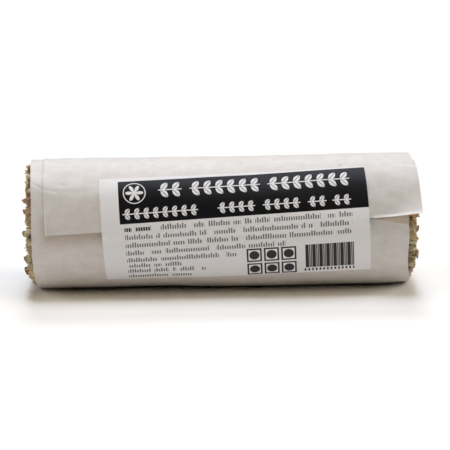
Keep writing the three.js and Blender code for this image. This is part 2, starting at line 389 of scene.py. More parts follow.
def lay_stalk(number, side, tip, thick, end):
    """Copies the straight stalk and lays it from the stick's middle to its cut face, bent to its tip."""
    stalk = copied(stalk_blank)
    phase = chance.uniform(0, 2 * math.pi, 4)
    bend = smooth(stalk_along, 0.2, 1)
    section = 1 + 0.09 * np.cos(4 * stalk_turned + phase[0]) + 0.05 * np.cos(7 * stalk_turned + phase[1])
    section = section * (1 + 0.05 * np.sin(stalk_along * 24 + phase[2]))
    y = tip[0] * bend + thick * stalk_out * section * np.cos(stalk_turned)
    z = tip[1] * bend + thick * stalk_out * section * np.sin(stalk_turned)
    at_cut = smooth(stalk_along, 0.999, 1)
    slant = 0.3 * thick * stalk_out * np.cos(stalk_turned + phase[3])
    splinter = thick * 0.22 * chance.uniform(-1, 1, len(stalk_out)) * (stalk_out > 0.35)
    hollow = -0.35 * thick * (1 - smooth(stalk_out, 0.2, 0.5))
    along = stalk_along * end + at_cut * (slant + splinter + hollow)
    angle = np.arctan2(z, y)
    radius = np.hypot(y, z)
    move_corners(stalk.data, in_bundle(number, side * along, angle, radius))
    paint(stalk.data, "pith", at_cut * (1 - smooth(stalk_out, 0.3, 0.75)))
    paint(stalk.data, "cut", at_cut * (1 - smooth(stalk_out, 0.75, 1)))
    return stalk


class Finish:
    """A material that is built up node by node. A value in it is a number, a colour or another node's."""

    def __init__(self, name, gloss):
        self.material = bpy.data.materials.new(name)
        self.material.use_nodes = True
        self.nodes = self.material.node_tree.nodes
        self.links = self.material.node_tree.links
        self.shader = self.nodes["Principled BSDF"]
        for socket, value in gloss.items():
            self.shader.inputs[socket].default_value = value
        self.place = self.nodes.new("ShaderNodeTexCoord").outputs["Object"]

    def add(self, kind, output, inputs, **settings):
        """Adds a node with its settings and its inputs, and gives one of its outputs."""
        node = self.nodes.new("ShaderNode" + kind)
        for name, value in settings.items():
            setattr(node, name, value)
        for socket, value in inputs.items():
            if isinstance(value, (int, float, tuple)):
                node.inputs[socket].default_value = value
            else:
                self.links.new(value, node.inputs[socket])
        return node.outputs[output]

    def mark(self, name, kind="Fac"):
        """What a piece was painted with under that name."""
        return self.add("Attribute", kind, {}, attribute_name=name)

    def reckon(self, kind, *values):
        return self.add("Math", 0, dict(enumerate(values)), operation=kind)

    def mixed(self, kind, amount, first, second):
        inputs = {0: amount, 6: first, 7: second}
        return self.add("Mix", 2, inputs, data_type="RGBA", blend_type=kind)

    def level(self, value, low, high, out_low=0.0, out_high=1.0):
        ends = {"From Min": low, "From Max": high, "To Min": out_low, "To Max": out_high}
        return self.add("MapRange", "Result", {"Value": value, **ends})

    def noise(self, scale, detail, stretch=(1, 1, 1), distort=0.0):
        stretched = self.add("Mapping", "Vector", {"Vector": self.place, "Scale": stretch})
        inputs = {"Vector": stretched, "Scale": scale, "Detail": detail, "Distortion": distort}
        return self.add("TexNoise", "Fac", inputs)

    def raised(self, height, strength, distance, over=None):
        """A bump by some height, over another bump where one is given."""
        inputs = {"Height": height, "Strength": strength, "Distance": distance}
        if over is not None:
            inputs["Normal"] = over
        return self.add("Bump", "Normal", inputs)

    def finished(self, colour, surface):
        self.links.new(colour, self.shader.inputs["Base Color"])
        self.links.new(surface, self.shader.inputs["Normal"])
        return self.material


def sage_finish():
    """Dried sage: felted, finely wrinkled leaf in its own colour, and fibrous stalk with a pale cut face."""
    sage = Finish("dried_sage", {
        "Roughness": 0.92, "Specular IOR Level": 0.25, "Sheen Weight": 0.18, "Sheen Roughness": 0.6,
    })
    own_colour = sage.mark("leaf_colour", "Color")
    blotches = sage.level(sage.noise(900, 4.0), 0.32, 0.68)
    fibres = sage.noise(2600, 2.0, (0.06, 1, 1))
    marked = {
        "blotches": blotches,
        "rusty": sage.level(sage.noise(520, 2.0, (1.3, 1, 1.1)), 0.56, 0.68),
        "flecks": sage.level(sage.noise(3800, 2.0), 0.50, 0.64),
        "underside": sage.mark("underside"),
        "dry_edge": sage.mark("dry_edge"),
    }
    leaf = own_colour
    for name, (most, tint) in leaf_marks.items():
        leaf = sage.mixed("MIX", sage.level(marked[name], 0, 1, 0, most), leaf, tint)
    bark = sage.mixed("MULTIPLY", sage.level(fibres, 0.3, 0.7, 0.75, 0.1), own_colour, bark_shadow)
    wood = sage.mixed("MIX", sage.level(blotches, 0, 1, 0.0, 0.5), wood_pale, wood_dark)
    wood = sage.mixed("MIX", sage.mark("pith"), wood, pith_colour)
    bark = sage.mixed("MIX", sage.mark("cut"), bark, wood)
    wrinkles = sage.add("TexVoronoi", "Distance", {"Vector": sage.place, "Scale": 1500})
    relief = sage.mixed("MIX", 0.5, wrinkles, fibres)
    colour = sage.mixed("MIX", sage.mark("stalk"), leaf, bark)
    return sage.finished(colour, sage.raised(relief, 0.7, 0.12 * mm))


def sprig_end(number, side, reach_end):
    """One end of a sprig, whose CAD solid reaches to reach_end: its leaves with crumbs, and its stalks."""
    y, z, size = cells[number]
    trimmed = trimmed_end(side, z)
    start = chance.uniform(0, 2 * math.pi)
    under_flap = side > 0 and z > flap_from_height
    if under_flap:
        furthest = end_reach["under_flap_in_front" if y < front_cells else "under_flap"]
    else:
        furthest = end_reach["left" if side < 0 else "right"]
    leaves = []
    for count, inner, outer, folded in leaf_rings:
        for turn in range(count):
            uneven = chance.uniform(-leaf_uneven, leaf_uneven)
            turned = start + 2 * math.pi * (turn + uneven) / count + inner * 9
            span = math.radians(chance.uniform(*leaf_span) * 360 / count)
            longer = furthest - abs(chance.normal(0, leaf_shorter))
            if not under_flap and chance.random() < long_leaf_share:
                longer += chance.uniform(*long_leaf_extra)
            pleat = folded * chance.uniform(*leaf_fold_share)
            leaves.append(lay_leaf(number, side, turned, span, inner, outer, pleat, longer * mm))
    leaves += [lay_chip(number, side) for chip in range(chips_per_end)]
    stem_end = trimmed - chance.uniform(0, stem_shorter) * mm
    if reach_end > trimmed + proud_stem_from and not under_flap:
        stem_end = reach_end - proud_stem_cut[side]
    stem_tip = chance.uniform(-stem_wander, stem_wander, 2) * mm
    thick = chance.uniform(*stem_thickness) * mm
    stalks = [lay_stalk(number, side, stem_tip, thick, stem_end)]
    for twig in range(twigs_per_end):
        turned = start + 2 * math.pi * (twig + chance.uniform(0.1, 0.9)) / twigs_per_end
        out = size * chance.uniform(*twig_out)
        tip = (out * math.cos(turned), out * math.sin(turned))
        thick = chance.uniform(*twig_thickness) * mm
        twig_end = trimmed + (furthest - chance.uniform(0, twig_shorter)) * mm
        stalks.append(lay_stalk(number, side, tip, thick, twig_end))
    return leaves, stalks


dried_sage = sage_finish()
sage_slots = tuple(sprig_leanings)
for number, node in enumerate(sprig_nodes):
    slot = sage_slots[number % len(sage_slots)]
    low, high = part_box(node)
    left_leaves, left_stalks = sprig_end(number, -1, -low.x)
    right_leaves, right_stalks = sprig_end(number, 1, high.x)
    leaves = left_leaves + right_leaves
    stalks = left_stalks + right_stalks
    for leaf in leaves:
        spot = leaf.data.vertices[0].co
        lean = sprig_leanings[slot]
        if spot.x < 0 and spot.y < -5 * mm:
            lean += rusty_leaning if rusty_heights[0] < spot.z < rusty_heights[1] else front_leaning
        shade = chance.choice(lean)
        brightness = chance.uniform(*leaf_brightness)
        if shade == "rust":
            brightness = min(brightness, rust_brightest)
        paint_colour(leaf.data, "leaf_colour", np.array(sage_colours[shade]) * brightness)
    for stalk in stalks:
        bark = sage_colours[chance.choice(stalk_leaning)]
        paint_colour(stalk.data, "leaf_colour", np.array(bark) * chance.uniform(*stalk_brightness))
        paint(stalk.data, "stalk", 1.0)
    leafage = made_one(node + "_leaves", leaves)
    corner_count = len(leafage.data.vertices)
    thicken(leafage, leaf_thickness, 0)
    paint(leafage.data, "underside", np.arange(len(leafage.data.vertices)) >= corner_count)
    sprig = made_one(node + "_leafy", [leafage, *stalks])
    smooth_shade(sprig, 50)
    sprig.data.materials.append(dried_sage)
    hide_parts(node)
    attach(sprig, "root")
for blank in (leaf_blank, chip_blank, stalk_blank):
    bpy.data.objects.remove(blank)

# Cotton thread: three twisted plies of undyed cotton. It is tied at the left end of the bundle, wound up
# it in four turns and back down it the other way, so that it crosses itself along the top.
thread_path = 14.7 * mm
thread_reach = 35 * mm
thread_turns = 4
thread_climb = 0.6 * mm
thread_steps = 560
ply_count = 3
ply_radius = 0.17 * mm
ply_out = 0.17 * mm
ply_twist = 2.6 * mm
knot_steps = 60
knot_turns = 3
knot_length = 1.6 * mm
knot_lift = 0.25 * mm
knot_wide = 0.5 * mm
knot_high = 0.45 * mm
cotton_dark = (0.62, 0.56, 0.44, 1)
cotton_light = (0.80, 0.75, 0.63, 1)


def thread_line():
    """The middle line of the thread, up the bundle and back, and the way out of the bundle along it."""
    way = np.linspace(0, 1, thread_steps)
    climbed = 1 - np.abs(2 * way - 1)
    along = thread_reach * (2 * climbed - 1)
    turned = 2 * math.pi * thread_turns * climbed
    radius = thread_path + thread_climb * np.cos(turned) ** 4 * smooth(way, 0.5, 0.53)
    angle = np.where(way > 0.5, -turned, turned)
    outward = np.stack((np.zeros(thread_steps), -np.sin(angle), np.cos(angle)), axis=1)
    line = outward * radius[:, None] + np.array(roll_middle)
    line[:, 0] = along
    return line, outward


def ply(line, outward, turned):
    """One ply that twists round a middle line."""
    forward = np.gradient(line, axis=0)
    forward /= np.linalg.norm(forward, axis=1)[:, None]
    beside = np.cross(forward, outward)
    run = np.concatenate(([0], np.cumsum(np.linalg.norm(np.diff(line, axis=0), axis=1))))
    angle = turned + 2 * math.pi * run / ply_twist
    places = line + ply_out * (outward * np.cos(angle)[:, None] + beside * np.sin(angle)[:, None])
    curve = bpy.data.curves.new("ply", "CURVE")
    curve.dimensions = "3D"
    curve.bevel_depth = ply_radius
    curve.bevel_resolution = 1
    curve.use_fill_caps = True
    spline = curve.splines.new("POLY")
    spline.points.add(len(places) - 1)
    spline.points.foreach_set("co", np.c_[places, np.ones(len(places))].ravel())
    strand = bpy.data.objects.new("ply", curve)
    bpy.context.collection.objects.link(strand)
    return strand


thread_middle, thread_out = thread_line()
knot_way = np.linspace(0, 1, knot_steps)
knot_turned = knot_way * 2 * math.pi * knot_turns
knot = np.stack(
    (
        -thread_reach + knot_wide * np.cos(knot_turned),
        roll_middle.y + (knot_way - 0.5) * knot_length,
        roll_middle.z + thread_path + knot_lift + knot_high * np.sin(knot_turned),
    ),
    axis=1,
)
knot_out = np.tile((0.0, 1.0, 0.0), (knot_steps, 1))
ply_turns = [count * 2 * math.pi / ply_count for count in range(ply_count)]
plies = [ply(thread_middle, thread_out, turned) for turned in ply_turns]
plies += [ply(knot, knot_out, turned) for turned in ply_turns]
choose_only(*plies)
bpy.ops.object.convert(target="MESH")
thread = made_one("cotton_thread_twisted", plies)
smooth_shade(thread, 60)


def cotton_finish():
    """Undyed cotton: soft, matt, with fine fibres."""
    cotton = Finish("undyed_cotton", {"Roughness": 0.9, "Sheen Weight": 0.3})
    fibres = cotton.noise(6000, 3.0)
    tones = cotton.mixed("MIX", cotton.level(fibres, 0.35, 0.65), cotton_dark, cotton_light)
    return cotton.finished(tones, cotton.raised(fibres, 0.5, 0.04 * mm))


thread.data.materials.append(cotton_finish())
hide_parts("cotton_thread")
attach(thread, "root")

# Paper: one sheet of thin off-white wrapping paper, rolled about one and a half times round the bundle.
# It creeps along the stick a little as it goes round, so its layers' ends don't lie over each other. Its
# free edge is held down by the sticker, and stands off the roll at its right corner.
sheet_length = 153 * mm
sheet_width = 93.3 * mm
half_width = sheet_width / 2
sheet_columns = ((34, 45), (20, 66), (84, 105), (13.5, 54), (1.5, 12))
sheet_rows = ((4, 16), (85.3, 128), (4, 16))
paper_thickness = 0.16 * mm
inner_radius = 16.25 * mm
middle_radius = 16.45 * mm
layer_step = 0.5 * mm
roll_skew = math.radians(2.15)
edge_angle = math.radians(80.3)
edge_centre = 2.6 * mm
turn = 2 * math.pi
inner_edge_angle = edge_angle - sheet_length / middle_radius

# the free edge's lifted corner, and its curls: a narrow lip, a wider rise behind it, and the corner itself.
# Each curl has its height, its reach back, and where along the edge it starts and is full, in millimetres,
# and the share of it that is lost again further on.
corner_lift = 0.8 * mm
lift_from = 36 * mm
lift_back = 20 * mm
edge_curls = ((0.6, 0.75, 36.3, 38.5, 0.7), (0.4, 2.4, 36.3, 40, 0), (1.1, 6.0, 40, 49, 0))
curl_lost = (43, 48)

# the two ends: trimmed a little askew, torn at the right, and pressed down at the left
end_strip = 6 * mm
pressed_down = 0.26 * mm
torn_angle = math.radians(23.0)
torn_depth = 0.45 * mm
left_creep = 0.75 * mm
right_creep = 0.6 * mm

# how both ends and the free edge wander, in soft steps: how much, and from where to where in millimetres
left_trim = ((1, -90, -113), (-0.3, -116, -128))
right_trim = ((1.2, -91, -80), (-0.35, -98, -93))
right_trim_ends = (-78, -55)
edge_wander = ((0.5, 36, 52), (-0.12, 32, 38), (-0.13, -31, -38))
wander_reach = 5 * mm

# the first layer stands out under the lifted corner. Its top and the fold below it are in degrees round, and
# the fold drops by so many degrees over so many millimetres along the roll.
inner_bulge = 0.7 * mm
bulge_from = 36.5 * mm
bulge_grows = 7 * mm
bulge_rises = (40, 66)
bulge_top = 76.5
fold_below = 0.6
fold_slope = (6.0, 9.4 * mm)

# soft waves: how high in millimetres, how many round, how fast along, and where they start
soft_waves = (
    (0.050, 3, 0.055, 0.4), (0.045, 5, -0.09, 2.2), (0.030, 8, 0.17, 4.0),
    (0.025, 11, -0.26, 1.0), (0.012, 17, 0.43, 5.2), (0.009, 23, -0.71, 3.1),
)
top_dip = 0.28
top_left_rise = 0.25
under_fill = 0.40

# creases and dents: a line of (degrees round, millimetres along), how deep, and how wide
crease_radius = 16.6
creases = (
    (((36.5, -50), (38, -47.6), (46, -44.3), (48.3, -41.4)), 0.08, 0.35),
    (((39, -50), (40, -47.6), (47, -44), (51, -38), (50, -26)), -0.36, 3.2),
    (((38, 24), (36, 38), (38, 48)), -0.13, 3.0),
    (((42, -40.3), (42.8, -39.5)), 0.12, 0.5),
    (((48.3, -41.4), (50, -36), (47, -31)), 0.07, 0.9),
    (((79.7, -42.2), (80, -42.1)), -0.10, 0.9),
    (((79.7, -42.2), (80, -42.1)), 0.15, 0.4),
    (((50, 39), (58, 41), (66, 46)), 0.09, 1.2),
    (((20, 41), (23, 45), (23.4, 49)), 0.14, 0.7),
    (((27, 43), (29, 49)), -0.08, 0.9),
    (((104, -44), (112, -38), (114, -30)), 0.07, 1.1),
    (((-40, -44), (-46, -30), (-43, -12)), 0.10, 1.0),
    (((-120, 47), (-112, 38), (-116, 24)), 0.12, 1.1),
    (((-150, -20), (-144, -8), (-146, 6)), 0.08, 0.9),
)

# two faint spots, in degrees round and millimetres along
faint_spots = ((22.1, 29.7), (23.4, 48.3))
spot_colour = (0.80, 0.74, 0.72, 1)
paper_grey = (0.664, 0.618, 0.580, 1)
paper_white = (0.713, 0.671, 0.635, 1)
fibre_colour = (0.80, 0.74, 0.68, 1)
fleck_colour = (0.55, 0.45, 0.36, 1)
# painted light and shade on the paper, each with how it is laid on and its colour: painted shade under the
# flap, a painted shadow line beside its edges, and painted highlights and light shining through at its edges
painted_light_and_shade = {
    "painted_shade_under_flap": ("MULTIPLY", (0.70, 0.61, 0.49, 1)),
    "painted_edge_shadow": ("MULTIPLY", (0.45, 0.42, 0.40, 1)),
    "painted_edge_light": ("MIX", (0.90, 0.87, 0.84, 1)),
}


def rise(value, start, end):
    """As smooth, with the start and the end in millimetres."""
    return smooth(value, start * mm, end * mm)


def stepped(value, steps):
    """Adds up soft steps of (how much, start, end)."""
    return sum(amount * rise(value, start, end) for amount, start, end in steps)


def near_edge(past_edge, reach):
    """1 at the free edge, and 0 from a reach behind it."""
    return np.clip(1 + past_edge / reach, 0, 1)


def degrees_round(angle):
    """From -180 to 180 degrees, with 0 at the top and 90 in front."""
    return np.remainder(np.degrees(angle) + 180, 360) - 180


def round_roll(along, angle, radius):
    """The place so far along the roll and round it, where the top is 0 and the front a quarter turn."""
    place = np.stack((along, -radius * np.sin(angle), radius * np.cos(angle)), axis=-1)
    return place + np.array(roll_middle)


def askew(past_edge, along):
    """How far round and along the roll a place on the sheet comes, as it is rolled up a little askew."""
    round_way = past_edge * math.cos(roll_skew) - along * math.sin(roll_skew)
    return round_way, past_edge * math.sin(roll_skew) + along * math.cos(roll_skew)


def layer_radius(angle):
    """To the outside of the sheet, which lies further out where it lies over its own first layer."""
    return inner_radius + layer_step * smooth(angle, edge_angle - turn, inner_edge_angle + turn)


def give(angle, along):
    """How far the bundle underneath pushes the paper out or lets it sink."""
    soft = 0
    for high, around, lengthwise, start in soft_waves:
        soft = soft + high * np.sin(around * angle + lengthwise * along / mm + start)
    on_top = smooth(np.cos(angle), 0.4, 1)
    below = smooth(-np.cos(angle), 0.25, 0.85)
    soft -= top_dip * on_top * np.exp(-(((along / mm - 3) / 20) ** 2))
    soft += top_left_rise * on_top * rise(-along, 42, 45)
    soft += under_fill * below * rise(along, -16, 2) * (1 - rise(along, 38, 49))
    return soft * mm


def crease(angle, along, line, depth, width):
    """A soft fold along a line of points."""
    round_mm = np.radians(degrees_round(angle)) * crease_radius
    points = [(math.radians(degrees) * crease_radius, along_mm) for degrees, along_mm in line]
    nearest = np.full(np.shape(angle), 1e9)
    for (r0, a0), (r1, a1) in zip(points[:-1], points[1:]):
        step_r, step_a = r1 - r0, a1 - a0
        share = ((round_mm - r0) * step_r + (along / mm - a0) * step_a) / (step_r**2 + step_a**2)
        share = np.clip(share, 0, 1)
        away = np.hypot(round_mm - r0 - share * step_r, along / mm - a0 - share * step_a)
        nearest = np.minimum(nearest, away)
    return -depth * mm * np.exp(-((nearest / width) ** 2))


def dented(angle, along):
    """The creases and small dents that the paper got as it was rolled and handled."""
    return sum(crease(angle, along, line, depth, width) for line, depth, width in creases)


def bulging(angle, along):
    """Where the first layer stands out under the lifted corner. It falls straight to a fold below it."""
    degrees = degrees_round(angle)
    fold = bulge_top + fold_below + (along - bulge_from) / fold_slope[1] * fold_slope[0]
    falling = np.clip((fold - degrees) / np.maximum(fold - bulge_top, 0.5), 0, 1)
    return falling * smooth(degrees, *bulge_rises) * smooth(along, bulge_from, bulge_from + bulge_grows)


def roll_up(flat_x, flat_y):
    """Rolls the flat sheet up: flat_x runs towards the free edge, and flat_y along it."""
    past_edge = flat_x - sheet_length / 2
    at_left = smooth(-flat_y, half_width - end_strip, half_width)
    at_right = smooth(flat_y, half_width - end_strip, half_width)
    over_itself = rise(past_edge, -50, -40)
    inner_layer = rise(-past_edge, 70, 90)
    along = flat_y + edge_centre

    # how its two ends were trimmed and torn, before it was rolled
    torn_at = torn_angle - edge_angle
    torn_back = torn_depth * over_itself * (1 - smooth(past_edge / middle_radius - torn_at, -0.03, 0.01))
    cut_askew = stepped(past_edge, right_trim) * (1 - rise(past_edge, *right_trim_ends))
    along += left_creep * stepped(past_edge, left_trim) * at_left
    along += (right_creep * inner_layer + cut_askew * mm - torn_back) * at_right
    drawn_back = stepped(along, edge_wander) * mm * near_edge(past_edge, wander_reach)

    round_way, axial = askew(past_edge, along)
    angle = edge_angle + (round_way - drawn_back) / middle_radius

    # how far out it comes, where the free edge curls and its corner lifts
    lifted = corner_lift * smooth(along, lift_from, half_width) * smooth(past_edge, -lift_back, 0)
    curled = 0
    for high, back, start, end, lost in edge_curls:
        curl = high * mm * near_edge(past_edge, back * mm) ** 2 * rise(along, start, end)
        curled = curled + curl * (1 - lost * rise(along, *curl_lost))
    pressed = pressed_down * over_itself * at_left
    radius = layer_radius(angle) + lifted + curled - pressed
    radius = radius + inner_bulge * bulging(angle, axial) * inner_layer
    radius = radius + give(angle, axial) + dented(angle, axial)
    place = round_roll(axial, angle, radius)
    place[..., 2] = np.maximum(place[..., 2], 0.0)
    return place


def spread_out(share, strips):
    """Spreads even steps over strips of (millimetres, steps), so that the grid is finer in some of them."""
    widths = np.cumsum([0] + [width for width, steps in strips])
    counts = np.cumsum([0] + [steps for width, steps in strips])
    return (np.interp(share * counts[-1], counts, widths) - widths[-1] / 2) * mm


# the grid is finer along the free edge, the creases and both ends, where the paper curls and is torn
paper = flat_grid(
    "paper_roll_sheet",
    sum(steps for width, steps in sheet_columns),
    sum(steps for width, steps in sheet_rows),
    1,
)
flat_sheet = corners(paper.data) + 0.5
flat_across = spread_out(flat_sheet[:, 0], sheet_columns)
flat_along = spread_out(flat_sheet[:, 1], sheet_rows)
move_corners(paper.data, roll_up(flat_across, flat_along))

# painted shade: where the flap lies over the first layer and shades it, under the lifted corner and below
# the free edge, the first layer is painted a little browner, and a thin painted shadow line runs right
# beside the flap's edges
past_end = flat_across - sheet_length / 2
past_turn = past_end + turn * middle_radius
along_roll = flat_along + edge_centre
round_first, first_along = askew(past_end, along_roll)
first_angle = edge_angle + round_first / middle_radius
in_first_layer = rise(-past_end, 80, 90)
from_left = flat_along + half_width
beside_left = from_left - turn * middle_radius * math.sin(roll_skew)
under_corner = smooth(bulging(first_angle, first_along), 0.0, 0.15)
below_edge = 1 - rise(past_turn, 0.2, 5.0)
below_edge *= rise(past_turn, -6, -1)
below_edge *= 0.8 * rise(beside_left, -3.0, 1.5) * rise(-along_roll, -34, -32)
paint(paper.data, "painted_shade_under_flap", np.maximum(under_corner, below_edge) * in_first_layer)
# painted shadow: a thin dark line on the first layer beside the flap's left edge, and one just below its
# free edge at the lifted corner and left of the sticker
shadow_line_beside = np.clip(1 - abs(beside_left + 0.1 * mm) / (0.32 * mm), 0, 1)
shadow_line_beside *= 1 - rise(past_turn, -5, 0)
shadow_line_below = 1 - rise(past_turn, 0.25, 0.7)
at_corner = rise(along_roll, 36, 42) * (1 - rise(along_roll, 42, 48))
left_of_sticker = 0.6 * rise(-along_roll, 31, 33) * rise(beside_left, 1, 7)
shadow_line_below = shadow_line_below * (at_corner + left_of_sticker)
paint(paper.data, "painted_edge_shadow", np.maximum(shadow_line_beside, shadow_line_below) * in_first_layer)

# painted highlights: the foot of the flap's left edge and the curled lip of its free edge are painted paler
# where they catch the light, and the free corner is painted paler for light shining through it
left_edge_highlight = np.clip(1 - from_left / (0.3 * mm), 0, 1) * rise(past_end, -9, -5)
lip_highlight = near_edge(past_end, 0.45 * mm) * rise(along_roll, 38, 43)
corner_lit_through = 0.5 * rise(past_end, -5, -0.5) * rise(along_roll, 40, 48)
paint(paper.data, "painted_edge_light", np.maximum(np.maximum(left_edge_highlight, lip_highlight), corner_lit_through))
thicken(paper, paper_thickness, -1)
smooth_shade(paper, 40)


def paper_finish():
    """Uncoated off-white paper: matt, faintly cloudy, with short fibres and a few darker flecks."""
    sheet = Finish("off_white_paper", {"Roughness": 0.58, "Specular IOR Level": 0.5})
    clouds = sheet.level(sheet.noise(420, 5.0, (0.8, 1, 1)), 0.38, 0.62)
    fibres = sheet.noise(3000, 3.0, (0.45, 1, 1), 1.5)
    flecks = sheet.noise(1700, 1.0)
    colour = sheet.mixed("MIX", clouds, paper_grey, paper_white)
    colour = sheet.mixed("MULTIPLY", sheet.level(fibres, 0.35, 0.6, 0.18, 0.0), colour, fibre_colour)
    colour = sheet.mixed("MULTIPLY", sheet.level(flecks, 0.72, 0.78, 0.0, 0.45), colour, fleck_colour)
    for degrees, spot_along in faint_spots:
        spot = tuple(round_roll(spot_along * mm, math.radians(degrees), roll_radius))
        away = sheet.add("VectorMath", "Value", {0: sheet.place, 1: spot}, operation="DISTANCE")
        spot_here = sheet.level(away, 0.2 * mm, 0.75 * mm, 0.72, 0)
        colour = sheet.mixed("MULTIPLY", spot_here, colour, spot_colour)
    # lays the painted shade, shadow lines and highlights over the paper's own colour
    for name, (kind, tint) in painted_light_and_shade.items():
        colour = sheet.mixed(kind, sheet.mark(name), colour, tint)
    cockled = sheet.raised(sheet.noise(600, 4.0, (0.7, 1, 1)), 0.4, 0.06 * mm)
    return sheet.finished(colour, sheet.raised(fibres, 0.4, 0.03 * mm, cockled))


paper.data.materials.append(paper_finish())
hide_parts("paper_roll")
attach(paper, "root")

# Sticker: a white paper label with its print, stuck over the free edge so that it holds the roll shut.
# Its print is generic: a black band with rows of leaves, rows of short strokes, plain squares and bars.
sticker_length = 66.3 * mm
sticker_height = 29.2 * mm
sticker_steps = (200, 90)
sticker_thickness = 0.1 * mm
sticker_centre = 3.1 * mm
sticker_angle = math.radians(81.3)
sticker_tilt = math.radians(2.65)
sticker_gap = 0.03 * mm
sticker_step = (0.3 * mm, 3.0 * mm)

# the print, in millimetres from the sticker's left and top
print_turned = 0.0075
print_soft = 0.05
band_left = 4.6
band_edges = (0.25, 11.85)
past_sticker = 70.0
flower_middle = (8.6, 4.15)
flower_ring = (2.55, 2.85)
petal_root = 0.25
petal_length = 2.0

# each row of leaves: its height, how far apart, how long and how plump they are, and its (start, pairs)
leaf_print = (
    (3.75, 2.93, 2.75, 0.78, ((14.5, 2), (22.3, 6), (41.7, 7))),
    (9.45, 2.34, 1.85, 0.58, ((5.4, 8), (28.9, 4), (40.1, 4), (51.3, 2), (57.4, 2))),
)
leaf_middle = (0.52, 0.37)
leaf_slant = (0.64, 0.77)
leaf_rib = 0.09
leaf_stem = 0.17

# each row of short strokes: its height, its start and its end, and a bold one before the first. By chance,
# some strokes are taller and some blocks of them are left out.
stroke_rows = (
    (13.3, 12.9, 62.1), (15.45, 5.6, 62.0), (17.6, 5.6, 62.1), (19.75, 5.6, 45.2),
    (21.9, 5.6, 32.8), (23.75, 5.6, 19.2), (25.6, 5.6, 25.0), (27.6, 5.6, 21.4),
)
bold_row = (13.3, 5.6, 12.2, 0.2)
bold_ink = 1.25
stroke_repeat = 0.6
stroke_sides = (0.08, 0.78, 0.12)
stroke_half = 0.5
stroke_end_soft = 0.08
tall_share = 0.3
tall_extra = 0.4
block_repeat = 0.9
blocks_out = 0.13

# squares, bars and ticks, with boxes of (left, right, top, bottom)
square_corner = (35.2, 20.35)
square_repeat = (4.29, 4.4)
square_counts = (3, 2)
frame_outside = (0.2, 4.0, 0.15, 4.1)
frame_inside = (0.62, 3.58, 0.57, 3.68)
disc_middle = (2.1, 2.12)
disc_radius = 1.28
bar_box = (50.0, 62.17, 20.3, 27.3)
bar_start = 49.95
bar_repeat = 1.745
bar_stripes = ((0.0, 0.93), (0.99, 1.34), (1.40, 1.71))
tick_box = (49.6, 62.2, 27.55, 28.45)
tick_start = 49.5
tick_repeat = 0.93
tick_stripe = (0.2, 0.68)

label_whites = ((0.800, 0.780, 0.780, 1), (0.880, 0.860, 0.860, 1))
label_ink = (0.0065, 0.0062, 0.0072, 1)
ink_depth = 0.96
fine_ink_depth = 0.85
label_roughness = 0.6
ink_glossier = 0.12


def lay_sticker(flat_x, flat_y):
    """Lays the flat sticker on the roll. It comes down on the layer below just past the free edge."""
    outer_radius = inner_radius + layer_step
    axial = sticker_centre + flat_x * math.cos(sticker_tilt) - flat_y * math.sin(sticker_tilt)
    round_way = -flat_x * math.sin(sticker_tilt) - flat_y * math.cos(sticker_tilt)
    angle = sticker_angle + round_way / outer_radius
    past_edge = (angle - edge_angle) * middle_radius + axial * math.sin(roll_skew)
    lower_radius = layer_radius(angle - turn)
    under = outer_radius + (lower_radius - outer_radius) * smooth(past_edge, *sticker_step)
    radius = under + sticker_gap + sticker_thickness + give(angle, axial) + dented(angle, axial)
    return round_roll(axial, angle, radius)


label = flat_grid("sticker_printed", *sticker_steps, 1)
flat_label = corners(label.data)
move_corners(label.data, lay_sticker(flat_label[:, 0] * sticker_length, flat_label[:, 1] * sticker_height))
thicken(label, sticker_thickness, -1)
smooth_shade(label, 40)


